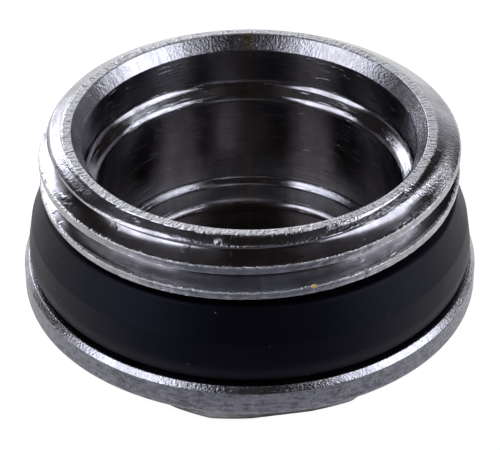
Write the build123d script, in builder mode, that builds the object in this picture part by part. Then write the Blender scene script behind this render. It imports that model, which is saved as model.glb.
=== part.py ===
from build123d import *
import os
from math import ceil, cos, radians, tan

# Manifold end plug: a forged and turned cup with a male pipe thread, and the rubber ring on its neck.
# It stands on its wrench boss with the open end up. The origin is the middle of the boss's lower face,
# +Z points out of the open end, two of the boss's flats face +X and -X, and sizes are in millimetres.

# Right-hand parallel pipe thread, 11 turns to the inch, with flat crests and roots
inch = 25.4
turns_per_inch = 11
thread_diameter = 33.15
thread_depth_share = 0.62
thread_root_share = 0.087
thread_flank_angle = 27.5
thread_length = 4.9
thread_end_break = 0.2
thread_start_drop = 0.07
thread_cutter_margin = 0.35

# Wall of the cup, from the neck below the thread to the steps of the cavity
neck_undercut = 0.54
neck_wall = 2.6
ledge_width = 1.15
mouth_width = 0.8
rim_width = 0.68
floor_step_width = 0.45

# Heights inside the cavity: the upper ones hang from the rim, the lower ones stand on the floor
lead_depth = 1.15
mouth_depth = 1.15
counterbore_length = 3.1
ledge_height = 0.85
ledge_round = 0.25
floor_step_height = 0.45
floor_bore_height = 2.0
floor_round = 0.4
floor_thickness = 2.75

# Wrench boss: an octagon with rounded corners and a chamfered end
boss_sides = 8
boss_wall = 1.95
boss_height = 4.05
boss_end_margin = 0.2
boss_chamfer_angle = 30.0
boss_corner_round = 0.8
boss_root_round = 0.6

# Flange that the seal rests on
flange_overhang = 0.45
flange_thickness = 2.62
flange_upper_round = 0.4
flange_lower_round = 0.5

# Seal: a thick ring with a bevelled top, a bulging side and a bevelled foot
seal_clearance = 0.05
seal_end_gap = 0.45
seal_foot_width = 1.95
seal_heel_width = 2.9
seal_heel_height = 0.38
seal_heel_round = 0.25
seal_bulge_width = 3.1
seal_bulge_rise = 1.0
seal_bulge_round = 2.5
seal_bend_width = 2.77
seal_bend_rise = 2.15
seal_bend_round = 0.8
seal_top_width = 1.75
seal_top_rise = 2.8
seal_top_round = 0.35

# Thread form that follows from its pitch
thread_pitch = inch / turns_per_inch
thread_depth = thread_depth_share * thread_pitch
thread_root_width = thread_root_share * thread_pitch

# Diameters that follow, from the thread inwards, out to the flange and down to the boss
thread_root_diameter = thread_diameter - 2 * thread_depth
neck_diameter = thread_root_diameter - 2 * neck_undercut
bore_diameter = neck_diameter - 2 * neck_wall
counterbore_diameter = bore_diameter + 2 * ledge_width
rim_inner_diameter = counterbore_diameter + 2 * mouth_width
rim_outer_diameter = rim_inner_diameter + 2 * rim_width
floor_bore_diameter = bore_diameter - 2 * floor_step_width
seal_bore_diameter = neck_diameter + 2 * seal_clearance
flange_diameter = seal_bore_diameter + 2 * seal_bulge_width + 2 * flange_overhang
boss_flats = floor_bore_diameter + 2 * boss_wall
boss_corners = boss_flats / cos(radians(180 / boss_sides))
boss_end_diameter = boss_flats + 2 * boss_end_margin

# Heights that follow, from the boss up to the rim
boss_chamfer_depth = (boss_corners - boss_end_diameter) / 2 * tan(radians(boss_chamfer_angle))
seat_z = boss_height + flange_thickness
seal_heel_z = seat_z + seal_heel_height
seal_bulge_z = seal_heel_z + seal_bulge_rise
seal_bend_z = seal_bulge_z + seal_bend_rise
seal_top_z = seal_bend_z + seal_top_rise
thread_z = seal_top_z + seal_end_gap
rim_z = thread_z + thread_length
ledge_top_z = rim_z - mouth_depth - counterbore_length
floor_step_z = floor_thickness + floor_bore_height

# Groove of the thread: the cutter reaches just outside the crests, and starts and ends in the open
groove_root_radius = thread_root_diameter / 2
groove_outer_radius = thread_diameter / 2 + thread_cutter_margin
groove_flare = (groove_outer_radius - groove_root_radius) * tan(radians(thread_flank_angle))
groove_outer_width = thread_root_width + 2 * groove_flare
groove_turns_down = ceil((thread_length + groove_outer_width) / thread_pitch)
groove_turns_up = 1
groove_z = rim_z - thread_start_drop - groove_turns_down * thread_pitch


def turned_outline(*corners):
    """Draws the closed half section through corners given as (diameter, height, rounding)."""
    points = [(diameter / 2, height) for diameter, height, rounding in corners]
    rounds = [rounding for diameter, height, rounding in corners]
    FilletPolyline(points, radius=rounds, close=True)


with BuildPart() as plug_body:
    # Octagonal boss, with its corners rounded and its end turned to a cone
    with BuildSketch(Plane.XY):
        RegularPolygon(boss_flats / 2, boss_sides, major_radius=False, rotation=180 / boss_sides)
    extrude(amount=boss_height)
    fillet(plug_body.edges().filter_by(Axis.Z), boss_corner_round)
    with BuildSketch(Plane.XZ):
        with BuildLine():
            turned_outline(
                (0, 0, 0),
                (boss_end_diameter, 0, 0),
                (boss_corners, boss_chamfer_depth, 0),
                (boss_corners, boss_height, 0),
                (0, boss_height, 0),
            )
        make_face()
    revolve(axis=Axis.Z, mode=Mode.INTERSECT)

    # Flange, neck and thread blank, turned as one, with a forged rounding under the flange
    with BuildSketch(Plane.XZ):
        with BuildLine():
            turned_outline(
                (0, boss_height, 0),
                (flange_diameter, boss_height, flange_lower_round),
                (flange_diameter, seat_z, flange_upper_round),
                (neck_diameter, seat_z, 0),
                (neck_diameter, thread_z, 0),
                (thread_diameter - 2 * thread_end_break, thread_z, 0),
                (thread_diameter, thread_z + thread_end_break, 0),
                (thread_diameter, rim_z - lead_depth, 0),
                (rim_outer_diameter, rim_z, 0),
                (0, rim_z, 0),
            )
        make_face()
    revolve(axis=Axis.Z)
    underside = plug_body.faces().filter_by(Axis.Z).sort_by(Axis.Z)[1]
    fillet(underside.inner_wires()[0].edges(), boss_root_round)

    # Cavity, stepped twice on its way to the floor
    with BuildSketch(Plane.XZ):
        with BuildLine():
            turned_outline(
                (0, floor_thickness, 0),
                (floor_bore_diameter, floor_thickness, floor_round),
                (floor_bore_diameter, floor_step_z, 0),
                (bore_diameter, floor_step_z + floor_step_height, 0),
                (bore_diameter, ledge_top_z - ledge_height, ledge_round),
                (counterbore_diameter, ledge_top_z, ledge_round),
                (counterbore_diameter, rim_z - mouth_depth, 0),
                (rim_inner_diameter, rim_z, 0),
                (0, rim_z, 0),
            )
        make_face()
    revolve(axis=Axis.Z, mode=Mode.SUBTRACT)

    # Thread, a helical groove cut turn by turn, that leaves through the rim above and the neck below
    for turn in range(groove_turns_down + groove_turns_up):
        turn_z = groove_z + turn * thread_pitch
        with BuildLine() as groove_path:
            Helix(thread_pitch, thread_pitch, groove_root_radius, (0, 0, turn_z))
        with BuildSketch(Plane.XZ):
            with BuildLine():
                Polyline(
                    (groove_root_radius, turn_z - thread_root_width / 2),
                    (groove_outer_radius, turn_z - groove_outer_width / 2),
                    (groove_outer_radius, turn_z + groove_outer_width / 2),
                    (groove_root_radius, turn_z + thread_root_width / 2),
                    close=True,
                )
            make_face()
        sweep(path=groove_path.line, is_frenet=True, mode=Mode.SUBTRACT)

with BuildPart() as seal_ring:
    # One moulded ring that hugs the neck and rests on the flange
    with BuildSketch(Plane.XZ):
        with BuildLine():
            turned_outline(
                (seal_bore_diameter, seat_z, 0),
                (seal_bore_diameter + 2 * seal_foot_width, seat_z, 0),
                (seal_bore_diameter + 2 * seal_heel_width, seal_heel_z, seal_heel_round),
                (seal_bore_diameter + 2 * seal_bulge_width, seal_bulge_z, seal_bulge_round),
                (seal_bore_diameter + 2 * seal_bend_width, seal_bend_z, seal_bend_round),
                (seal_bore_diameter + 2 * seal_top_width, seal_top_z, seal_top_round),
                (seal_bore_diameter, seal_top_z, 0),
            )
        make_face()
    revolve(axis=Axis.Z)

plug_body.part.label = "plug_body"
seal_ring.part.label = "seal_ring"

os.makedirs("parts", exist_ok=True)
export_step(plug_body.part, "parts/plug_body.step")
export_step(seal_ring.part, "parts/seal_ring.step")
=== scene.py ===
"""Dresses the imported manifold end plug: a plated, threaded cup with a rubber seal, on a white floor."""

import math

import bpy
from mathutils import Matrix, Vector, noise


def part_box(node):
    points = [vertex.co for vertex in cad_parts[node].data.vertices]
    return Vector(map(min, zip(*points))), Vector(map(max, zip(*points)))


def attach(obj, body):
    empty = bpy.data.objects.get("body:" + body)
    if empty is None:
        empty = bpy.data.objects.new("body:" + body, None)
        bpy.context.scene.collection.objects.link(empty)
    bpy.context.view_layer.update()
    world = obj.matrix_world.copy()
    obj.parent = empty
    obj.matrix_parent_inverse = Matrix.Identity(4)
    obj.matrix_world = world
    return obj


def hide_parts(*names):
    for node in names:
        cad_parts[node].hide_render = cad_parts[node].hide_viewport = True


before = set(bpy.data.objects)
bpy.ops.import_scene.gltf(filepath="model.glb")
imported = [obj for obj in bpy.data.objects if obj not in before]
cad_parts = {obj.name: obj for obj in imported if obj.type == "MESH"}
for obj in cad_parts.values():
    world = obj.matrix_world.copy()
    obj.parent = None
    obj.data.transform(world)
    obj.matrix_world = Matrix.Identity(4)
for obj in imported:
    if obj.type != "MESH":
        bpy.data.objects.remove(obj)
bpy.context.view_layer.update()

# Sizes are in millimetres, and meshes are scaled to metres when they are made
MM = 0.001

# Camera, as the photograph was taken: it looks down into the open end with a long lens
CAMERA_AZIMUTH = -10.4
CAMERA_ELEVATION = 35.606
CAMERA_DISTANCE = 187.38
CAMERA_ROLL = -0.11
CAMERA_AIM_X = 0.027
CAMERA_AIM_DROP = 9.573
CAMERA_LENS = 167.54
CAMERA_SENSOR = 36.0
CAMERA_CLIP_START = 10.0

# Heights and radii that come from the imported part
BODY_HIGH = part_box("plug_body")[1]
SEAL_LOW, SEAL_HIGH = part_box("seal_ring")
RIM_Z = BODY_HIGH.z / MM
FLANGE_R = BODY_HIGH.x / MM
SEAT_Z = SEAL_LOW.z / MM
SEAL_TOP_Z = SEAL_HIGH.z / MM

# Thread: a right-hand pipe thread whose groove runs out through the lead cone and into the neck
INCH = 25.4
TURNS_PER_INCH = 11
CREST_R = 16.575
THREAD_DEPTH_SHARE = 0.62
ROOT_WIDTH_SHARE = 0.087
FLANK_ANGLE = 27.5
SEAL_END_GAP = 0.45
THREAD_START_DROP = 0.07
END_BREAK = 0.2
LEAD_DEPTH = 1.15

# Thread sizes that follow
PITCH = INCH / TURNS_PER_INCH
THREAD_DEPTH = THREAD_DEPTH_SHARE * PITCH
ROOT_WIDTH = ROOT_WIDTH_SHARE * PITCH
ROOT_R = CREST_R - THREAD_DEPTH
FLANK_SLOPE = math.tan(math.radians(FLANK_ANGLE))
THREAD_Z = SEAL_TOP_Z + SEAL_END_GAP
LEAD_Z = RIM_Z - LEAD_DEPTH

# Rounding of the crests and roots, the reach of wear at a crest's edge, and nicks in the crests
CREST_EDGE = 0.2
ROOT_EDGE = 0.9
EDGE_REACH = 0.16
NICK_SCALE = 4.0
NICK_LEVEL = 0.1
NICK_DEPTH = 0.16

# Rows of the thread's mesh, from the root's middle and from the flank's end, and their room to the end rings
ROOT_ROWS = (0.0, 0.06, 0.1, 0.15, 0.22, 0.36, 0.55)
CREST_ROWS = (-0.12, -0.05, -0.02, 0.01, 0.04, 0.12)
ROW_MARGIN = 0.012

# Ragged outer edge of the rim
RIM_RAG_SCALE = 3.0
RIM_RAG_DEPTH = 0.09

# Burr on the lead cone: where it starts, how far it runs round and down, and its section
BURR_ANGLE = math.radians(249.4)
BURR_TURN = math.radians(4.2)
BURR_START_DROP = 0.1
BURR_END_DROP = 0.42
BURR_WIDTH = 0.13
BURR_HEIGHT = 0.28

# Cup: widths from the neck inwards, heights from the rim down and from the floor up, and roundings
NECK_UNDERCUT = 0.54
NECK_WALL = 2.6
LEDGE_WIDTH = 1.15
MOUTH_WIDTH = 0.8
RIM_WIDTH = 0.68
FLOOR_STEP_WIDTH = 0.45
MOUTH_DEPTH = 1.15
COUNTERBORE_LENGTH = 3.1
LEDGE_HEIGHT = 0.85
CUP_DEPTH = 15.6
FLOOR_BORE_HEIGHT = 2.0
FLOOR_STEP_HEIGHT = 0.6
SCORED_HEIGHT = 3.6
FLOOR_ROUND = 0.9
FLOOR_STEP_ROUND = 0.4
LEDGE_ROUND = 0.7
MOUTH_ROUND = 0.12
RIM_ROUND = 0.06

# Radii and heights of the cup that follow
NECK_R = ROOT_R - NECK_UNDERCUT
BORE_R = NECK_R - NECK_WALL
COUNTERBORE_R = BORE_R + LEDGE_WIDTH
RIM_INNER_R = COUNTERBORE_R + MOUTH_WIDTH
RIM_OUTER_R = RIM_INNER_R + RIM_WIDTH
FLOOR_R = BORE_R - FLOOR_STEP_WIDTH
MOUTH_Z = RIM_Z - MOUTH_DEPTH
LEDGE_TOP_Z = MOUTH_Z - COUNTERBORE_LENGTH
LEDGE_LOW_Z = LEDGE_TOP_Z - LEDGE_HEIGHT
FLOOR_Z = RIM_Z - CUP_DEPTH
FLOOR_STEP_Z = FLOOR_Z + FLOOR_BORE_HEIGHT
SCORED_Z = FLOOR_STEP_Z + SCORED_HEIGHT

# Flange and wrench boss
NECK_ROUND = 0.1
FLANGE_THICKNESS = 2.62
FLANGE_BEVEL_WIDTH = 0.38
FLANGE_BEVEL_HEIGHT = 0.46
FLANGE_BEVEL_ROUND = 0.12
FLANGE_LOWER_ROUND = 0.5
BOSS_SIDES = 8
BOSS_WALL = 1.95
BOSS_END_MARGIN = 0.2
BOSS_CHAMFER_ANGLE = 30.0
BOSS_CORNER_ROUND = 0.8
BOSS_ROOT_ROUND = 0.6
BOSS_EDGE = 0.12

# Radii and heights of the flange and boss that follow
BEVEL_Z = SEAT_Z - FLANGE_BEVEL_HEIGHT
BOSS_HEIGHT = SEAT_Z - FLANGE_THICKNESS
BOSS_FLAT_R = FLOOR_R + BOSS_WALL
BOSS_END_R = BOSS_FLAT_R + BOSS_END_MARGIN
BOSS_CHAMFER_SLOPE = math.tan(math.radians(BOSS_CHAMFER_ANGLE))

# Seal: widths out from its bore, heights up from the flange, roundings, and the seam of its mesh in the bore
SEAL_CLEARANCE = 0.05
SEAL_FOOT_WIDTH = 1.95
SEAL_HEEL_WIDTH = 2.9
SEAL_HEEL_HEIGHT = 0.38
SEAL_HEEL_ROUND = 0.25
SEAL_BULGE_WIDTH = 3.1
SEAL_BULGE_HEIGHT = 1.38
SEAL_BULGE_ROUND = 2.5
SEAL_BEND_WIDTH = 2.77
SEAL_BEND_HEIGHT = 3.53
SEAL_BEND_ROUND = 0.8
SEAL_TOP_WIDTH = 1.75
SEAL_TOP_ROUND = 0.35
SEAL_EDGE_ROUND = 0.12
SEAM_START_DROP = 3.0
SEAM_END_DROP = 2.9

# Mesh: steps round the axis and along roundings, points beside roundings, and rings within flat faces
BODY_STEPS = 640
SEAL_STEPS = 360
BODY_ARC_STEPS = 3
ROOT_ARC_STEPS = 5
SEAL_ARC_STEPS = 6
ARC_SUPPORT = 0.07
FLOOR_CAP_R = 0.3
NECK_TOP_WIDTH = 0.3
FLANGE_UNDER_WIDTH = 1.9
BOSS_CAP_INSET = 2.0

# How far a ring may lie from the mouth, the rim, the rim's outer edge or a wall and still belong to it
MOUTH_REACH = 0.02
RIM_REACH = 0.05
RAG_REACH = 0.09
WALL_REACH = 0.001

# Finishes as (forged, turned, peened): rough forging, fine turning lines, orange peel of the mouth
TURNED_SHARE = 0.6
SCORED_SHARE = 1.0
PLAIN = (0.0, 0.0, 0.0)
FORGED = (1.0, 0.0, 0.0)
SMOOTH_FORGED = (0.45, 0.0, 0.0)
TURNED = (0.0, TURNED_SHARE, 0.0)
SCORED = (0.0, SCORED_SHARE, 0.0)
PEENED = (0.0, 0.0, 1.0)
BEVELLED = (0.1, 0.0, 0.8)
THREADED = (0.0, 0.64, 0.0)

# Wear as (worn edge, burred rim, rough lead cone)
NO_WEAR = (0.0, 0.0, 0.0)
RIM_WEAR = (0.0, 1.0, 0.0)


def smooth_min(a, b, width):
    """The smaller of two values, rounded off where they are less than width apart."""
    overlap = max(width - abs(a - b), 0.0) / width
    return min(a, b) - overlap * overlap * width / 4


def smooth_max(a, b, width):
    """The larger of two values, rounded off where they are less than width apart."""
    return -smooth_min(-a, -b, width)


def nick_depth(angle, z):
    """How deep the crests are dented at a place, in small shallow nicks."""
    place = Vector((math.cos(angle) * CREST_R, math.sin(angle) * CREST_R, z)) * NICK_SCALE
    return NICK_DEPTH * max(noise.noise(place) - NICK_LEVEL, 0.0)


def groove_offset(angle, z):
    """Distance along the axis from the middle of the nearest turn of the groove."""
    turns = (z - RIM_Z + THREAD_START_DROP) / PITCH - angle / math.tau
    return abs(turns - round(turns)) * PITCH


def blank_radius(angle, z):
    """Radius of the threaded wall before the groove is cut."""
    lead = CREST_R + (RIM_OUTER_R - CREST_R) * (z - LEAD_Z) / LEAD_DEPTH
    crest = CREST_R - nick_depth(angle, z)
    blank = smooth_min(crest, lead, CREST_EDGE)
    return smooth_min(blank, CREST_R - END_BREAK + z - THREAD_Z, CREST_EDGE)


def groove_radius(angle, z):
    """Radius of the groove's flanks and root."""
    flank = ROOT_R + (groove_offset(angle, z) - ROOT_WIDTH / 2) / FLANK_SLOPE
    return smooth_max(ROOT_R, flank, ROOT_EDGE)


def burr_height(angle, z):
    """Height of the one sliver of metal that stands up on the lead cone."""
    along = (angle - BURR_ANGLE) / BURR_TURN
    if not 0.0 < along < 1.0:
        return 0.0
    middle = RIM_Z - BURR_START_DROP - (BURR_END_DROP - BURR_START_DROP) * along
    across = max(1.0 - abs(z - middle) / BURR_WIDTH, 0.0)
    return BURR_HEIGHT * math.sin(math.pi * along) * across


def thread_radius(angle, z):
    """Radius of the threaded wall at an angle round the axis and a height."""
    cut = smooth_min(blank_radius(angle, z), groove_radius(angle, z), CREST_EDGE)
    return cut + burr_height(angle, z)


def thread_wear(angle, z):
    """Wear at a place on the thread: on a crest's edge or the burr, and on the lead cone."""
    ahead = groove_radius(angle, z) - blank_radius(angle, z)
    edge = max(1.0 - abs(ahead) / EDGE_REACH, burr_height(angle, z) / BURR_HEIGHT, 0.0)
    lead = 1.0 if ahead > 0 and z > LEAD_Z else 0.0
    return (edge, 0.0, lead)


def ragged(radius):
    """A radius at the rim's outer edge as a function of the angle, with small burrs and notches."""

    def radius_at(angle):
        place = Vector((math.cos(angle), math.sin(angle), 0.0)) * RIM_OUTER_R * RIM_RAG_SCALE
        return radius - RIM_RAG_DEPTH * abs(noise.noise(place))

    return radius_at


def boss_radius(angle):
    """Radius of the octagon with rounded corners."""
    sector = math.tau / BOSS_SIDES
    turn = (angle + sector / 2) % sector - sector / 2
    aside = sector / 2 - abs(turn)
    corner_middle = (BOSS_FLAT_R - BOSS_CORNER_ROUND) / math.cos(sector / 2)
    across = corner_middle * math.sin(aside)
    if across > BOSS_CORNER_ROUND * math.sin(sector / 2):
        return BOSS_FLAT_R / math.cos(turn)
    return corner_middle * math.cos(aside) + math.sqrt(BOSS_CORNER_ROUND**2 - across**2)


def chamfer_z(angle):
    """Height at which the boss's turned chamfer meets its wall."""
    return max(boss_radius(angle) - BOSS_END_R, 0.0) * BOSS_CHAMFER_SLOPE


def rounded_corner(before, corner, after, arc_steps):
    """Points of one corner of a section: itself where it is sharp, or else its arc between two supports."""
    rounding = corner[2]
    if rounding == 0.0:
        return [corner[:2]]
    here = Vector(corner[:2])
    back = Vector(before[:2]) - here
    ahead = Vector(after[:2]) - here
    turn = math.pi - back.angle(ahead)
    reach = rounding * math.tan(turn / 2)
    back.normalize()
    ahead.normalize()
    start = here + back * reach
    end = here + ahead * reach
    centre = here + (back + ahead).normalized() * rounding / math.cos(turn / 2)
    points = [start + back * ARC_SUPPORT]
    for step in range(arc_steps + 1):
        spoke = (start - centre).lerp(end - centre, step / arc_steps)
        points.append(centre + spoke.normalized() * rounding)
    points.append(end + ahead * ARC_SUPPORT)
    return [tuple(point) for point in points]


def rounded_path(corners, arc_steps):
    """Points along a half section whose corners are given as (radius, height, rounding)."""
    points = [corners[0][:2]]
    for before, corner, after in zip(corners, corners[1:], corners[2:]):
        points += rounded_corner(before, corner, after, arc_steps)
    points.append(corners[-1][:2])
    return points


def new_object(name, data):
    """Puts a new object in the scene."""
    obj = bpy.data.objects.new(name, data)
    bpy.context.scene.collection.objects.link(obj)
    return obj


class RingMesh:
    """A closed mesh made of rings round the Z axis, with a finish and a wear for each vertex."""

    def __init__(self, steps):
        self.steps = steps
        self.vertices = []
        self.faces = []
        self.finish = []
        self.wear = []

    def vertex(self, radius, angle, z, finish, wear=NO_WEAR):
        """Adds a vertex and returns its number."""
        self.vertices.append((radius * math.cos(angle), radius * math.sin(angle), z))
        self.finish.append(finish)
        self.wear.append(wear)
        return len(self.vertices) - 1

    def ring(self, radius, z, finish=PLAIN, wear=NO_WEAR):
        """Adds a ring, whose radius and height may be functions of the angle."""
        ring = []
        for step in range(self.steps):
            angle = math.tau * step / self.steps
            radius_here = radius(angle) if callable(radius) else radius
            z_here = z(angle) if callable(z) else z
            ring.append(self.vertex(radius_here, angle, z_here, finish, wear))
        return ring

    def join(self, lower, upper):
        """Adds the faces between two rings, which face outwards where the second lies above the first."""
        for step in range(self.steps):
            after = (step + 1) % self.steps
            self.faces.append((lower[step], lower[after], upper[after], upper[step]))

    def hang(self, above, radius, z, finish):
        """Adds a ring and joins it to the one above it."""
        ring = self.ring(radius, z, finish)
        self.join(ring, above)
        return ring

    def cap(self, ring, z, finish, flip):
        """Closes a ring with a fan of triangles that faces up, or down where it is flipped."""
        middle = self.vertex(0, 0, z, finish)
        for step in range(self.steps):
            after = (step + 1) % self.steps
            face = (ring[after], ring[step], middle) if flip else (ring[step], ring[after], middle)
            self.faces.append(face)

    def build(self, name):
        """Makes the object, in metres, with its finish and wear as attributes."""
        mesh = bpy.data.meshes.new(name)
        mesh.from_pydata([Vector(v) * MM for v in self.vertices], [], self.faces)
        for layer_name, values in (("finish", self.finish), ("wear", self.wear)):
            layer = mesh.attributes.new(layer_name, "FLOAT_COLOR", "POINT")
            layer.data.foreach_set("color", [part for value in values for part in (*value, 1.0)])
        mesh.shade_smooth()
        mesh.validate()
        return new_object(name, mesh)


def inside_finish(radius, z):
    """Finish of the cup's inside at a point of its section."""
    if z > MOUTH_Z - MOUTH_REACH:
        return PEENED
    on_wall = min(abs(radius - BORE_R), abs(radius - FLOOR_R)) < WALL_REACH
    return SCORED if on_wall and z < SCORED_Z else TURNED


def add_cup(mesh):
    """Adds the cup's inside and its rim, and returns the rim's last ring and that ring's height."""
    corners = [
        (FLOOR_CAP_R, FLOOR_Z, 0.0),
        (FLOOR_R, FLOOR_Z, FLOOR_ROUND),
        (FLOOR_R, FLOOR_STEP_Z, FLOOR_STEP_ROUND),
        (BORE_R, FLOOR_STEP_Z + FLOOR_STEP_HEIGHT, FLOOR_STEP_ROUND),
        (BORE_R, SCORED_Z, 0.0),
        (BORE_R, LEDGE_LOW_Z, LEDGE_ROUND),
        (COUNTERBORE_R, LEDGE_TOP_Z, LEDGE_ROUND),
        (COUNTERBORE_R, MOUTH_Z, MOUTH_ROUND),
        (RIM_INNER_R, RIM_Z, RIM_ROUND),
        (RIM_OUTER_R, RIM_Z, RIM_ROUND),
        (CREST_R, LEAD_Z, 0.0),
    ]
    # The last two points are on the lead cone, which belongs to the thread
    section = rounded_path(corners, BODY_ARC_STEPS)[:-2]
    rings = []
    for radius, z in section:
        wear = RIM_WEAR if radius > RIM_INNER_R - RIM_REACH else NO_WEAR
        radius_at = ragged(radius) if radius > RIM_OUTER_R - RAG_REACH else radius
        rings.append(mesh.ring(radius_at, z, inside_finish(radius, z), wear))
    mesh.cap(rings[0], FLOOR_Z, TURNED, flip=False)
    for inner, outer in zip(rings, rings[1:]):
        mesh.join(outer, inner)
    return rings[-1], section[-1][1]


def thread_rows():
    """Offsets within one pitch at which the rows of the thread's mesh follow its helix."""
    flank_end = ROOT_WIDTH / 2 + THREAD_DEPTH * FLANK_SLOPE
    half = [*ROOT_ROWS, *(flank_end + shift for shift in CREST_ROWS)]
    mirrored = [PITCH - offset for offset in half[:0:-1]]
    return half + [PITCH / 2] + mirrored


def add_thread(mesh, low_ring, high_ring, high_z):
    """Fills the wall between two rings with rows that follow the helix and end on the rings."""
    pattern = thread_rows()
    start_z = RIM_Z - THREAD_START_DROP
    first_turn = math.floor((THREAD_Z - start_z) / PITCH) - 1
    last_turn = math.ceil((high_z - start_z) / PITCH) + 1
    turns = range(first_turn, last_turn)
    offsets = [start_z + turn * PITCH + row for turn in turns for row in pattern]

    def vertex(offset, step):
        angle = math.tau * step / mesh.steps
        z = offset + PITCH * angle / math.tau
        if z <= THREAD_Z + ROW_MARGIN:
            return low_ring[step]
        if z >= high_z - ROW_MARGIN:
            return high_ring[step]
        return mesh.vertex(thread_radius(angle, z), angle, z, THREADED, thread_wear(angle, z))

    rows = [[vertex(offset, step) for step in range(mesh.steps)] for offset in offsets]

    # After a full turn a row goes on as the row one pitch above it
    top = len(rows) - 1
    for row in range(top):
        here = rows[row] + rows[min(row + len(pattern), top)][:1]
        above = rows[row + 1] + rows[min(row + 1 + len(pattern), top)][:1]
        for step in range(mesh.steps):
            corners = (here[step], here[step + 1], above[step + 1], above[step])
            unique = list(dict.fromkeys(corners))
            if len(unique) > 2:
                mesh.faces.append(unique)


def add_flange(mesh, above):
    """Adds the neck and the flange below a ring, and returns the last ring under the flange."""
    corners = [
        (NECK_R + NECK_TOP_WIDTH, THREAD_Z, 0.0),
        (NECK_R, THREAD_Z, NECK_ROUND),
        (NECK_R, SEAT_Z, NECK_ROUND),
        (FLANGE_R - FLANGE_BEVEL_WIDTH, SEAT_Z, FLANGE_BEVEL_ROUND),
        (FLANGE_R, BEVEL_Z, FLANGE_BEVEL_ROUND),
        (FLANGE_R, BOSS_HEIGHT, FLANGE_LOWER_ROUND),
        (BOSS_FLAT_R + FLANGE_UNDER_WIDTH, BOSS_HEIGHT, 0.0),
    ]
    for radius, z in rounded_path(corners, BODY_ARC_STEPS):
        above = mesh.hang(above, radius, z, FORGED if z < BEVEL_Z else BEVELLED)
    return above


def add_boss(mesh, above):
    """Adds the boss below a ring: its root, its wall down to the turned chamfer, and its end."""
    for step in range(ROOT_ARC_STEPS + 1):
        bend = math.pi / 2 * step / ROOT_ARC_STEPS
        out = BOSS_ROOT_ROUND * (1 - math.sin(bend))
        z = BOSS_HEIGHT - BOSS_ROOT_ROUND * (1 - math.cos(bend))
        above = mesh.hang(above, lambda angle: boss_radius(angle) + out, z, SMOOTH_FORGED)

    for inset, lift in ((0.0, 2 * BOSS_EDGE), (0.0, BOSS_EDGE), (BOSS_EDGE / 4, BOSS_EDGE / 4)):
        above = mesh.hang(
            above,
            lambda angle: boss_radius(angle) - inset,
            lambda angle: chamfer_z(angle) + lift,
            SMOOTH_FORGED,
        )

    def end_radius(angle):
        return min(boss_radius(angle), BOSS_END_R) - BOSS_EDGE

    above = mesh.hang(above, end_radius, 0.0, SMOOTH_FORGED)
    above = mesh.hang(above, BOSS_END_R - BOSS_CAP_INSET, 0.0, SMOOTH_FORGED)
    mesh.cap(above, 0.0, SMOOTH_FORGED, flip=True)


def make_body():
    mesh = RingMesh(BODY_STEPS)
    high_ring, high_z = add_cup(mesh)
    low_ring = mesh.ring(lambda angle: thread_radius(angle, THREAD_Z), THREAD_Z, THREADED)
    add_thread(mesh, low_ring, high_ring, high_z)
    add_boss(mesh, add_flange(mesh, low_ring))
    return mesh.build("plated_cup")


def make_seal():
    mesh = RingMesh(SEAL_STEPS)
    bore = NECK_R + SEAL_CLEARANCE
    corners = [
        (bore, SEAL_TOP_Z - SEAM_START_DROP, 0.0),
        (bore, SEAT_Z, SEAL_EDGE_ROUND),
        (bore + SEAL_FOOT_WIDTH, SEAT_Z, SEAL_EDGE_ROUND),
        (bore + SEAL_HEEL_WIDTH, SEAT_Z + SEAL_HEEL_HEIGHT, SEAL_HEEL_ROUND),
        (bore + SEAL_BULGE_WIDTH, SEAT_Z + SEAL_BULGE_HEIGHT, SEAL_BULGE_ROUND),
        (bore + SEAL_BEND_WIDTH, SEAT_Z + SEAL_BEND_HEIGHT, SEAL_BEND_ROUND),
        (bore + SEAL_TOP_WIDTH, SEAL_TOP_Z, SEAL_TOP_ROUND),
        (bore, SEAL_TOP_Z, SEAL_EDGE_ROUND),
        (bore, SEAL_TOP_Z - SEAM_END_DROP, 0.0),
    ]
    rings = [mesh.ring(radius, z) for radius, z in rounded_path(corners, SEAL_ARC_STEPS)]
    for lower, upper in zip(rings, rings[1:] + rings[:1]):
        mesh.join(lower, upper)
    return mesh.build("rubber_seal")


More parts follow.
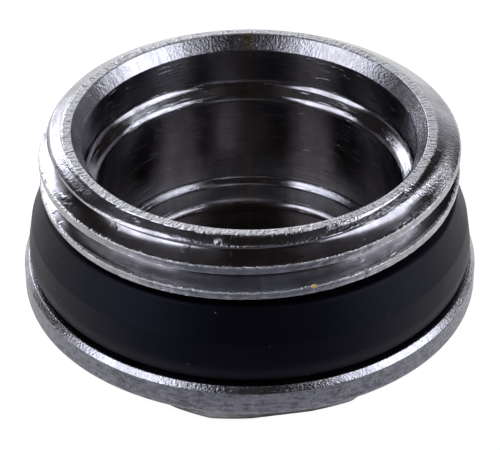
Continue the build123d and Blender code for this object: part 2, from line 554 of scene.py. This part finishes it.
class Nodes:
    """Short calls for building a node tree, which starts out empty."""

    def __init__(self, owner):
        owner.use_nodes = True
        self.tree = owner.node_tree
        self.tree.nodes.clear()

    def add(self, kind, inputs=(), **settings):
        """Adds a node with its settings, and links or sets its inputs."""
        node = self.tree.nodes.new(kind)
        for name, value in settings.items():
            setattr(node, name, value)
        for socket, value in dict(inputs).items():
            if isinstance(value, bpy.types.NodeSocket):
                self.tree.links.new(value, node.inputs[socket])
            else:
                node.inputs[socket].default_value = value
        return node

    def calc(self, operation, a, b=0.0):
        return self.add("ShaderNodeMath", {0: a, 1: b}, operation=operation).outputs[0]

    def times(self, a, b):
        return self.calc("MULTIPLY", a, b)

    def spread(self, value, low, high, to_low=0.0, to_high=1.0):
        """Maps a value from one range to another and clamps it there."""
        inputs = {"Value": value, "From Min": low, "From Max": high, "To Min": to_low, "To Max": to_high}
        return self.add("ShaderNodeMapRange", inputs).outputs[0]

    def noise(self, vector, scale, detail, roughness):
        inputs = {"Vector": vector, "Scale": scale, "Detail": detail, "Roughness": roughness}
        return self.add("ShaderNodeTexNoise", inputs).outputs["Fac"]

    def mix(self, share, a, b):
        """A colour between two colours."""
        return self.add("ShaderNodeMix", {0: share, 6: a, 7: b}, data_type="RGBA").outputs[2]

    def vector(self, x, y, z):
        return self.add("ShaderNodeCombineXYZ", {0: x, 1: y, 2: z}).outputs[0]

    def vector_value(self, operation, a, b=(0.0, 0.0, 0.0)):
        """A number worked out from vectors, such as a distance or a length."""
        return self.add("ShaderNodeVectorMath", {0: a, 1: b}, operation=operation).outputs["Value"]

    def place(self):
        """Place on the object, in metres."""
        return self.add("ShaderNodeTexCoord").outputs["Object"]

    def place_in_mm(self):
        """Place on the object, in millimetres."""
        inputs = {0: self.place(), "Scale": 1 / MM}
        return self.add("ShaderNodeVectorMath", inputs, operation="SCALE").outputs[0]

    def layer(self, name):
        """The three values of a mesh attribute."""
        colour = self.add("ShaderNodeAttribute", attribute_name=name).outputs["Color"]
        return self.add("ShaderNodeSeparateColor", {0: colour}).outputs

    def bump(self, height, depth, normal=None):
        """Normal with relief of a depth in millimetres, on top of another normal."""
        inputs = {"Height": height, "Distance": depth * MM, "Strength": 1.0}
        if normal is not None:
            inputs["Normal"] = normal
        return self.add("ShaderNodeBump", inputs).outputs["Normal"]

    def surface(self, shader, kind="ShaderNodeOutputMaterial"):
        """Makes a shader the surface of the material or world."""
        self.add(kind, {"Surface": shader.outputs[0]})


# Noises of the plate as (scale, detail, roughness)
LINES = (5.0, 4.0, 0.65)
PEBBLES = (3.6, 3.0, 0.65)
MOTTLE = (1.5, 4.0, 0.65)
PEEL = (4.8, 3.0, 0.6)
BURRS = (1.6, 3.0, 0.6)
GRIT = (5.0, 2.0, 0.6)
MARKS = (4.0, 2.0, 0.5)
CLOUDS = (0.35, 3.0, 0.6)
STREAKS = (5.0, 4.0, 0.65)

# Scales of the places at which noise is looked up, so that it runs round, down or across
LINE_RISE = 1.3
LINE_STRETCH = 0.04
MARK_RISE = 0.9
MARK_STRETCH = 0.14
BURR_SPOKES = 36.0
STREAK_STRETCH = 0.02
MOTTLE_RISE = 2.5

# Depth of the plate's relief in millimetres, and the share of the lines that every finish has
LINE_RELIEF = 0.03
LINE_LEAST = 0.4
PEBBLE_RELIEF = 0.34
PEEL_RELIEF = 0.05
BURR_RELIEF = 0.08
LEAD_RELIEF = 0.035
GRIT_RELIEF = 0.16
MARK_RELIEF = 0.02

# Noise levels between which each mark on the plate fades in
CLOUD_LEVELS = (0.35, 0.7)
STREAK_LEVELS = (0.42, 0.65)
PIT_LEVELS = (0.42, 0.64)
DENT_LEVELS = (0.52, 0.66)
SCORE_LEVELS = (0.5, 0.66)
MARK_LEVELS = (0.62, 0.7)
REFLECTION_STREAK_LEVELS = (0.3, 0.5)
CLOUD_ROUGH_LEVELS = (0.3, 0.7)

# Colours of the plate, two of them partly painted shade
PLATE_DARK = (0.41, 0.403, 0.435, 1.0)
PLATE_LIGHT = (0.53, 0.523, 0.56, 1.0)
# Turned faces, the cup's inside and the thread, are darkened as painted shade for the inside of the cup
TURNED_SHADE_COLOUR = (0.2, 0.19, 0.195, 1.0)
STREAK_COLOUR = (0.2, 0.187, 0.185, 1.0)
WORN_COLOUR = (0.8, 0.795, 0.8, 1.0)
# Forged colour: dull forged plate, darkened further as painted shade where the flange and boss mirror the
# shaded floor
FORGED_AND_SHADE_COLOUR = (0.165, 0.163, 0.195, 1.0)
PIT_COLOUR = (0.03, 0.03, 0.037, 1.0)
MARRED_COLOUR = (0.13, 0.122, 0.125, 1.0)

# Share with which each colour covers the plate
TURNED_SHADE_COVER = 0.4
STREAK_COVER = 0.6
WORN_COVER = 0.8
FORGED_AND_SHADE_COVER = 0.85
PIT_COVER = 0.65
DENT_COVER = 0.7
MARRED_COVER = 0.6

# Roughness of the clouded plate, what each finish adds, and the pull of turning lines on highlights
CLOUD_ROUGH = (0.08, 0.15)
FORGED_ROUGH = 0.14
PEENED_ROUGH = 0.04
TURNED_ROUGH = 0.04
SCORED_ROUGH = 0.3
TURNED_PULL = 0.9
PULL_ROTATION = 0.25

# Chip on the upper edge of the second crest, where the brass shows
BRASS = (1.0, 0.6, 0.22, 1.0)
CHIP_ANGLE = math.radians(-83.75)
CHIP_DROP = 3.75
CHIP_PLACE = (CREST_R * math.cos(CHIP_ANGLE), CREST_R * math.sin(CHIP_ANGLE), RIM_Z - CHIP_DROP)
CHIP_SIZE = 0.5
CHIP_RAG = 0.5
CHIP_FADE = 0.1
CHIP_METALLIC = 0.4

# Painted reflection: a brown streak that runs down the inside at the back, wider at the mouth
REFLECTION_STREAK_COLOUR = (0.5, 0.4, 0.22, 1.0)
REFLECTION_STREAK_ANGLE = math.radians(79.6)
REFLECTION_STREAK_WIDTH = 0.018
REFLECTION_STREAK_MOUTH_WIDTH = 0.04
REFLECTION_STREAK_CORE = 0.4
REFLECTION_STREAK_RIM_FADE = 0.2
REFLECTION_STREAK_COVER = (0.2, 0.8)

# Darker floor of the cup, painted shade at the bottom of the recess, with the heights and the width over
# which it fades
FLOOR_SHADE_COLOUR = (0.19, 0.165, 0.155, 1.0)
FLOOR_SHADE_HEIGHTS = (0.4, 0.1)
FLOOR_SHADE_FADE = 0.1


class Plate(Nodes):
    """Nickel plate: turned inside, orange peel at the mouth, burrs at the rim, pebbly forging outside."""

    def __init__(self, material):
        super().__init__(material)
        self.mm = self.place_in_mm()
        self.x, self.y, self.z = self.add("ShaderNodeSeparateXYZ", {0: self.mm}).outputs
        self.forged, self.turned, self.peened = self.layer("finish")
        self.edge, self.rim, self.lead = self.layer("wear")
        self.radius = self.vector_value("LENGTH", self.vector(self.x, self.y, 0.0))
        self.round_x = self.calc("DIVIDE", self.x, self.radius)
        self.round_y = self.calc("DIVIDE", self.y, self.radius)
        self.add_noises()

    def add_noises(self):
        """Adds each noise once, at the places that give it its run."""
        along = self.calc("ADD", self.times(self.z, LINE_RISE), self.radius)
        rings = self.vector(along, self.times(self.x, LINE_STRETCH), self.times(self.y, LINE_STRETCH))
        mark_x = self.times(self.x, MARK_STRETCH)
        mark_y = self.times(self.y, MARK_STRETCH)
        scratches = self.vector(self.times(along, MARK_RISE), mark_x, mark_y)
        spoke_x = self.times(self.round_x, BURR_SPOKES)
        spoke_y = self.times(self.round_y, BURR_SPOKES)
        columns = self.vector(self.round_x, self.round_y, self.times(self.z, STREAK_STRETCH))
        bands = self.vector(self.x, self.y, self.times(self.z, MOTTLE_RISE))
        self.lines = self.noise(rings, *LINES)
        self.marks = self.noise(scratches, *MARKS)
        self.burrs = self.noise(self.vector(spoke_x, spoke_y, self.radius), *BURRS)
        self.streaks = self.noise(columns, *STREAKS)
        self.mottle = self.noise(bands, *MOTTLE)
        self.pebbles = self.noise(self.mm, *PEBBLES)
        self.peel = self.noise(self.mm, *PEEL)
        self.grit = self.noise(self.mm, *GRIT)
        self.clouds = self.noise(self.mm, *CLOUDS)

    def relief(self):
        """Normal of the plate, with one relief on top of the other."""
        line_share = self.spread(self.turned, TURNED_SHARE, SCORED_SHARE, LINE_LEAST, 1.0)
        reliefs = (
            (self.lines, line_share, LINE_RELIEF),
            (self.pebbles, self.forged, PEBBLE_RELIEF),
            (self.peel, self.peened, PEEL_RELIEF),
            (self.burrs, self.rim, BURR_RELIEF),
            (self.pebbles, self.lead, LEAD_RELIEF),
            (self.grit, self.edge, GRIT_RELIEF),
            (self.spread(self.marks, *MARK_LEVELS), self.turned, MARK_RELIEF),
        )
        normal = None
        for height, mask, depth in reliefs:
            normal = self.bump(self.times(height, mask), depth, normal)
        return normal

    def chip(self):
        """Mask of the small spot on a crest where the plate has chipped off."""
        away = self.vector_value("DISTANCE", self.mm, CHIP_PLACE)
        rough_away = self.calc("ADD", away, self.times(self.pebbles, CHIP_RAG))
        return self.spread(rough_away, CHIP_SIZE, CHIP_SIZE - CHIP_FADE)

    def painted_reflection_streak(self):
        """Mask of the thin brown streak inside the cup, a painted reflection."""
        along_x = self.times(self.round_x, math.cos(REFLECTION_STREAK_ANGLE))
        along_y = self.times(self.round_y, math.sin(REFLECTION_STREAK_ANGLE))
        same_side = self.calc("GREATER_THAN", self.calc("ADD", along_x, along_y), 0.0)
        across_x = self.times(self.round_x, math.sin(REFLECTION_STREAK_ANGLE))
        across_y = self.times(self.round_y, math.cos(REFLECTION_STREAK_ANGLE))
        across = self.calc("ABSOLUTE", self.calc("SUBTRACT", across_x, across_y))
        width = self.spread(self.peened, 0.0, 1.0, REFLECTION_STREAK_WIDTH, REFLECTION_STREAK_MOUTH_WIDTH)
        core = self.spread(self.calc("DIVIDE", across, width), 1.0, REFLECTION_STREAK_CORE)
        inside = self.spread(self.radius, RIM_INNER_R + REFLECTION_STREAK_RIM_FADE, RIM_INNER_R)
        streak = self.times(self.times(core, same_side), inside)
        return self.times(streak, self.spread(self.grit, *REFLECTION_STREAK_LEVELS, *REFLECTION_STREAK_COVER))

    def shaded_cup_floor(self):
        """Mask of the cup's floor, where shade is painted."""
        above = self.calc("ABSOLUTE", self.calc("SUBTRACT", self.z, FLOOR_Z))
        low = self.spread(above, *FLOOR_SHADE_HEIGHTS)
        return self.times(low, self.spread(self.radius, FLOOR_R + FLOOR_SHADE_FADE, FLOOR_R))

    def colour(self, chip):
        """Colour of the plate, with one covering colour over the other; some covers are painted shade and
        one is a painted reflection.
        """
        dents = self.times(self.rim, self.spread(self.burrs, *DENT_LEVELS, 0.0, DENT_COVER))
        scores = self.times(self.turned, self.spread(self.lines, *SCORE_LEVELS))
        worn = self.calc("MAXIMUM", self.edge, self.rim)
        covers = (
            # Darker turned faces: painted shade inside the cup, which the thread gets as well
            (self.times(self.turned, TURNED_SHADE_COVER), TURNED_SHADE_COLOUR),
            (self.spread(self.streaks, *STREAK_LEVELS, 0.0, STREAK_COVER), STREAK_COLOUR),
            (self.times(worn, WORN_COVER), WORN_COLOUR),
            # Darker forged flange side and boss: partly their dull forging, partly painted shade for the
            # shaded floor they mirror
            (self.times(self.forged, FORGED_AND_SHADE_COVER), FORGED_AND_SHADE_COLOUR),
            (self.times(self.forged, self.spread(self.mottle, *PIT_LEVELS, 0.0, PIT_COVER)), PIT_COLOUR),
            (self.times(self.calc("MAXIMUM", scores, dents), MARRED_COVER), MARRED_COLOUR),
            # Painted reflection: a brown streak down the back of the cup
            (self.painted_reflection_streak(), REFLECTION_STREAK_COLOUR),
            # Painted shade on the cup's floor
            (self.shaded_cup_floor(), FLOOR_SHADE_COLOUR),
            (chip, BRASS),
        )
        base = self.mix(self.spread(self.clouds, *CLOUD_LEVELS), PLATE_DARK, PLATE_LIGHT)
        for mask, colour in covers:
            base = self.mix(mask, base, colour)
        return base

    def roughness(self):
        """Roughness of the clouded plate, with what each finish adds."""
        clouded = self.spread(self.clouds, *CLOUD_ROUGH_LEVELS, *CLOUD_ROUGH)
        forged = self.times(self.forged, FORGED_ROUGH)
        peened = self.times(self.calc("MAXIMUM", self.rim, self.peened), PEENED_ROUGH)
        turned = self.spread(self.turned, TURNED_SHARE, SCORED_SHARE, TURNED_ROUGH, SCORED_ROUGH)
        return self.calc("ADD", self.calc("ADD", self.calc("ADD", forged, clouded), peened), turned)


def plating_material():
    material = bpy.data.materials.new("nickel_plate")
    n = Plate(material)
    chip = n.chip()
    inputs = {
        "Base Color": n.colour(chip),
        "Metallic": n.spread(chip, 0.0, 1.0, 1.0, CHIP_METALLIC),
        "Roughness": n.roughness(),
        "Anisotropic": n.times(n.turned, TURNED_PULL),
        "Anisotropic Rotation": PULL_ROTATION,
        "Tangent": n.add("ShaderNodeTangent", direction_type="RADIAL", axis="Z").outputs[0],
        "Normal": n.relief(),
    }
    n.surface(n.add("ShaderNodeBsdfPrincipled", inputs))
    return material


# Rubber: its grain and bloom as noise, its colours, its sheen and its dust
RUBBER_GRAIN = (6.0, 3.0, 0.6)
RUBBER_GRAIN_RELIEF = 0.008
RUBBER_BLOOM = (0.4, 3.0, 0.6)
RUBBER_BLOOM_LEVELS = (0.35, 0.7)
RUBBER_DARK = (0.0004, 0.0004, 0.0006, 1.0)
RUBBER_LIGHT = (0.0009, 0.0009, 0.0014, 1.0)
RUBBER_ROUGH_LEVELS = (0.3, 0.7)
RUBBER_ROUGH = (0.44, 0.51)
RUBBER_SPECULAR = 0.15
RUBBER_SPECULAR_TINT = (0.6, 0.61, 1.0, 1.0)
DUST_COLOUR = (0.16, 0.16, 0.15, 1.0)
DUST_SCALE = 0.67
DUST_DISTANCES = (0.05, 0.025)


def rubber_material():
    """Matt black rubber with a faint bloom and a few specks of dust."""
    material = bpy.data.materials.new("black_rubber")
    n = Nodes(material)
    mm = n.place_in_mm()
    bloom = n.noise(mm, *RUBBER_BLOOM)
    dust = n.add("ShaderNodeTexVoronoi", {"Vector": mm, "Scale": DUST_SCALE}).outputs["Distance"]
    base = n.mix(n.spread(bloom, *RUBBER_BLOOM_LEVELS), RUBBER_DARK, RUBBER_LIGHT)
    inputs = {
        "Base Color": n.mix(n.spread(dust, *DUST_DISTANCES), base, DUST_COLOUR),
        "Roughness": n.spread(bloom, *RUBBER_ROUGH_LEVELS, *RUBBER_ROUGH),
        "Specular IOR Level": RUBBER_SPECULAR,
        "Specular Tint": RUBBER_SPECULAR_TINT,
        "Normal": n.bump(n.noise(mm, *RUBBER_GRAIN), RUBBER_GRAIN_RELIEF),
    }
    n.surface(n.add("ShaderNodeBsdfPrincipled", inputs))
    return material


# Lamps, soft boxes in front to the left and right and a strip behind, as (azimuth, elevation, width, height,
# radiance), with the azimuth counted from the camera's side to the right
LAMPS = (
    (-62.0, 26.0, 460.0, 590.0, 3.1),
    (76.0, 26.0, 520.0, 590.0, 3.1),
    (-146.0, 24.0, 240.0, 280.0, 4.5),
)
LAMP_DISTANCE = 600.0
LAMP_COLOUR = (0.87, 0.9, 1.0)
RIGHT_AZIMUTH = 90.0

# Room: dark, with a bright wall behind the part and two dim panels overhead, given as cosines and heights
# of the directions between which they fade in
ROOM_COLOUR = (0.022, 0.0165, 0.016, 1.0)
WALL_COLOUR = (0.92, 0.94, 1.0, 1.0)
WALL_GLOW = 1.1
WALL_AZIMUTH = -170.0
WALL_SIDES = (0.6, 0.85)
WALL_TOP = (0.67, 0.56)
PANEL_COLOUR = (0.065, 0.06, 0.064, 1.0)
PANEL_SIDES = (0.17, 0.22)
PANEL_EDGE = (0.84, 0.9)

# Floor, just clear of the boss's end
FLOOR_SIZE = 6000.0
FLOOR_COLOUR = (0.25, 0.25, 0.25, 1.0)
FLOOR_GLOW = 0.93
FLOOR_DROP = 0.02

# Shade of the part on the floor close to it, as the metal mirrors it
SHADE_INNER_R = 13.8
SHADE_OUTER_R = 16.4
SHADE_GLOW = 0.12

# Grey card in front, seen in mirrors alone, which paints shade into the metal's reflections in place of
# shaded floor; lighter close to the part
CARD_NEAR_COLOUR = (0.9, 0.92, 0.97, 1.0)
CARD_FAR_COLOUR = (0.33, 0.34, 0.38, 1.0)
CARD_TURN_NEAR = 25.0
CARD_TURN_FAR = 33.0
CARD_NEAR = 21.5
CARD_FAR = 600.0
CARD_HALF_WIDTH = 90.0
CARD_LIFT = 0.2


def direction(azimuth, elevation):
    """Unit vector from the part, with the azimuth counted from the camera's side to the right."""
    turn = math.radians(azimuth + CAMERA_AZIMUTH)
    rise = math.radians(elevation)
    level = math.cos(rise)
    return Vector((math.sin(turn) * level, -math.cos(turn) * level, math.sin(rise)))


def look_at(obj, where, target):
    """Puts an object at a place and points it at a target."""
    obj.location = where
    obj.rotation_euler = (target - where).to_track_quat("-Z", "Y").to_euler()


def make_camera():
    data = bpy.data.cameras.new("camera")
    data.lens = CAMERA_LENS
    data.sensor_width = CAMERA_SENSOR
    data.clip_start = CAMERA_CLIP_START * MM
    camera = new_object("camera", data)
    aim = Vector((CAMERA_AIM_X, 0.0, RIM_Z - CAMERA_AIM_DROP)) * MM
    look_at(camera, aim + direction(0.0, CAMERA_ELEVATION) * CAMERA_DISTANCE * MM, aim)
    camera.rotation_euler.rotate_axis("Z", math.radians(CAMERA_ROLL))
    bpy.context.scene.camera = camera


def make_lamp(azimuth, elevation, width, height, radiance):
    data = bpy.data.lights.new("lamp", "AREA")
    data.shape = "RECTANGLE"
    data.size = width * MM
    data.size_y = height * MM
    data.color = LAMP_COLOUR
    data.energy = radiance * math.pi * data.size * data.size_y
    lamp = new_object("lamp", data)
    middle = Vector((0.0, 0.0, RIM_Z / 2)) * MM
    look_at(lamp, middle + direction(azimuth, elevation) * LAMP_DISTANCE * MM, middle)


def make_world():
    """A dark warm room with a bright wall behind the part and two dim panels overhead."""
    world = bpy.data.worlds.new("studio")
    bpy.context.scene.world = world
    n = Nodes(world)
    way = n.add("ShaderNodeTexCoord").outputs["Generated"]
    up = n.add("ShaderNodeSeparateXYZ", {0: way}).outputs[2]
    back = n.vector_value("DOT_PRODUCT", way, direction(WALL_AZIMUTH, 0.0))
    wall = n.times(n.spread(back, *WALL_SIDES), n.spread(up, *WALL_TOP))
    aside = n.calc("ABSOLUTE", n.vector_value("DOT_PRODUCT", way, direction(RIGHT_AZIMUTH, 0.0)))
    panels = n.times(n.spread(aside, *PANEL_SIDES), n.spread(up, *PANEL_EDGE))
    room = n.add("ShaderNodeBackground", {"Color": ROOM_COLOUR, "Strength": 1.0})
    lit = n.add("ShaderNodeBackground", {"Color": WALL_COLOUR, "Strength": WALL_GLOW})
    overhead = n.add("ShaderNodeBackground", {"Color": PANEL_COLOUR, "Strength": 1.0})
    walled = n.add("ShaderNodeMixShader", {0: wall, 1: room.outputs[0], 2: lit.outputs[0]})
    studio = n.add("ShaderNodeMixShader", {0: panels, 1: walled.outputs[0], 2: overhead.outputs[0]})
    n.surface(studio, "ShaderNodeOutputWorld")


def make_sheet(name, corners, material):
    """A flat piece of the studio, given by its corners in millimetres."""
    mesh = bpy.data.meshes.new(name)
    mesh.from_pydata([Vector(corner) * MM for corner in corners], [], [range(len(corners))])
    mesh.materials.append(material)
    sheet = new_object(name, mesh)
    return sheet


def floor_material():
    """White to the camera and in mirrors, apart from the part's shade there, and matt under the lamps."""
    material = bpy.data.materials.new("white_floor")
    n = Nodes(material)
    path = n.add("ShaderNodeLightPath").outputs
    away = n.vector_value("LENGTH", n.place())
    shade = n.spread(away, SHADE_INNER_R * MM, SHADE_OUTER_R * MM, SHADE_GLOW, 1.0)
    mirrored = n.calc("MAXIMUM", path["Is Glossy Ray"], path["Is Transmission Ray"])
    seen = n.calc("MAXIMUM", path["Is Camera Ray"], n.times(mirrored, shade))
    glow = n.add("ShaderNodeEmission", {"Strength": n.times(seen, FLOOR_GLOW)})
    matt = n.add("ShaderNodeBsdfDiffuse", {"Color": FLOOR_COLOUR})
    n.surface(n.add("ShaderNodeAddShader", {0: glow.outputs[0], 1: matt.outputs[0]}))
    return material


def make_floor():
    half = FLOOR_SIZE / 2
    sides = ((-half, -half), (half, -half), (half, half), (-half, half))
    make_sheet("floor", [(x, y, -FLOOR_DROP) for x, y in sides], floor_material())


def shade_card_material():
    """Matt grey, lighter close to the part; painted shade for the metal's reflections."""
    material = bpy.data.materials.new("painted_shade_card")
    n = Nodes(material)
    ahead = n.vector_value("DOT_PRODUCT", n.place(), direction(0.0, 0.0))
    share = n.spread(ahead, CARD_TURN_NEAR * MM, CARD_TURN_FAR * MM)
    colour = n.mix(share, CARD_NEAR_COLOUR, CARD_FAR_COLOUR)
    n.surface(n.add("ShaderNodeBsdfDiffuse", {"Color": colour}))
    return material


def make_shade_card():
    """A grey card on the floor in front, which shows in mirrors alone and gives the metal its dark side as
    painted shade.
    """
    ahead = direction(0.0, 0.0)
    aside = direction(RIGHT_AZIMUTH, 0.0) * CARD_HALF_WIDTH
    lift = Vector((0.0, 0.0, CARD_LIFT))
    sides = ((CARD_NEAR, -1), (CARD_NEAR, 1), (CARD_FAR, 1), (CARD_FAR, -1))
    corners = [ahead * far + aside * side + lift for far, side in sides]
    card = make_sheet("card", corners, shade_card_material())
    card.visible_camera = False
    card.visible_diffuse = False
    card.visible_shadow = False


def main():
    body = make_body()
    body.data.materials.append(plating_material())
    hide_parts("plug_body")
    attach(body, "root")

    seal = make_seal()
    seal.data.materials.append(rubber_material())
    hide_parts("seal_ring")
    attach(seal, "root")

    make_floor()
    make_world()
    make_shade_card()
    for lamp in LAMPS:
        make_lamp(*lamp)
    make_camera()
    bpy.context.scene.view_settings.view_transform = "Standard"


main()
